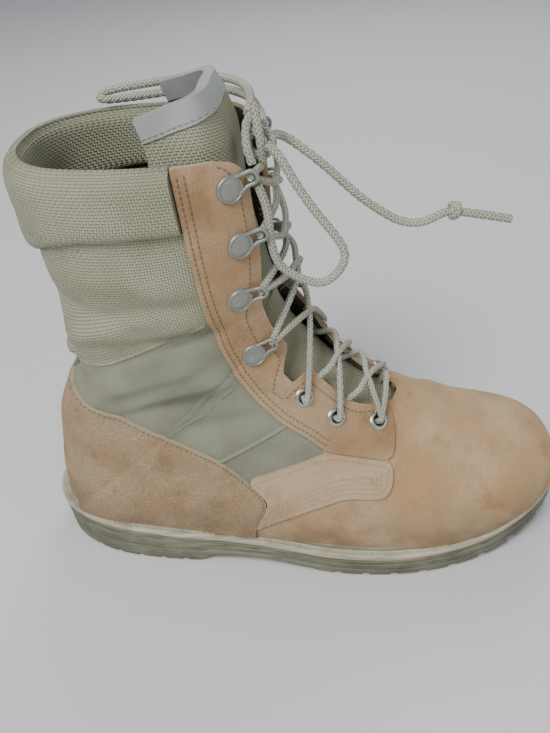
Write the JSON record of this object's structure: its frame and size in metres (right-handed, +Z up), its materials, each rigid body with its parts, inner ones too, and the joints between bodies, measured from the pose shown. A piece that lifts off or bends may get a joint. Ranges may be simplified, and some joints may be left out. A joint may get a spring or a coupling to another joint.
{
  "type": "combat boot",
  "caption": "Lace-up hot-weather combat boot for the right foot: suede and nylon upper with padded collar, speed hooks and eyelets, on a lugged rubber sole.",
  "frame": {"origin": "on the floor under the middle of the heel's tread", "axes": "+X to the toe along the sole, +Z up, lateral side of the foot at -Y"},
  "size_m": [0.306, 0.1103, 0.2662],
  "materials": {
    "outsole_rubber": "matte moulded rubber",
    "welt_rubber": "stitched rubber welt",
    "lining": "spacer mesh",
    "suede": "rough-out suede",
    "brown_suede": "worn suede",
    "nylon": "coarse woven nylon",
    "binding": "smooth grosgrain",
    "hook_metal": "satin painted steel",
    "eyelet_metal": "worn nickel",
    "lace": "round braided cord"
  },
  "bodies": {
    "root": {"outsole": "outsole_rubber", "midsole": "outsole_rubber", "welt": "welt_rubber", "insole": "lining", "upper": "suede", "collar_cuff": "nylon", "heel_counter": "suede", "backstay": "nylon", "eyestay_lateral": "brown_suede", "eyestay_medial": "brown_suede", "saddle_lateral": "suede", "saddle_medial": "suede", "tongue": "nylon", "tongue_binding": "binding", "hook_lateral_1": "hook_metal", "hook_lateral_2": "hook_metal", "hook_lateral_3": "hook_metal", "hook_lateral_4": "hook_metal", "hook_medial_1": "hook_metal", "hook_medial_2": "hook_metal", "hook_medial_3": "hook_metal", "hook_medial_4": "hook_metal", "eyelet_lateral_1": "eyelet_metal", "eyelet_lateral_2": "eyelet_metal", "eyelet_lateral_3": "eyelet_metal", "eyelet_medial_1": "eyelet_metal", "eyelet_medial_2": "eyelet_metal", "eyelet_medial_3": "eyelet_metal", "lace_crossings": "lace", "lace_knot": "lace", "lace_loop_near": "lace", "lace_loop_far": "lace", "lace_end_near": "lace"}
  },
  "joints": []
}
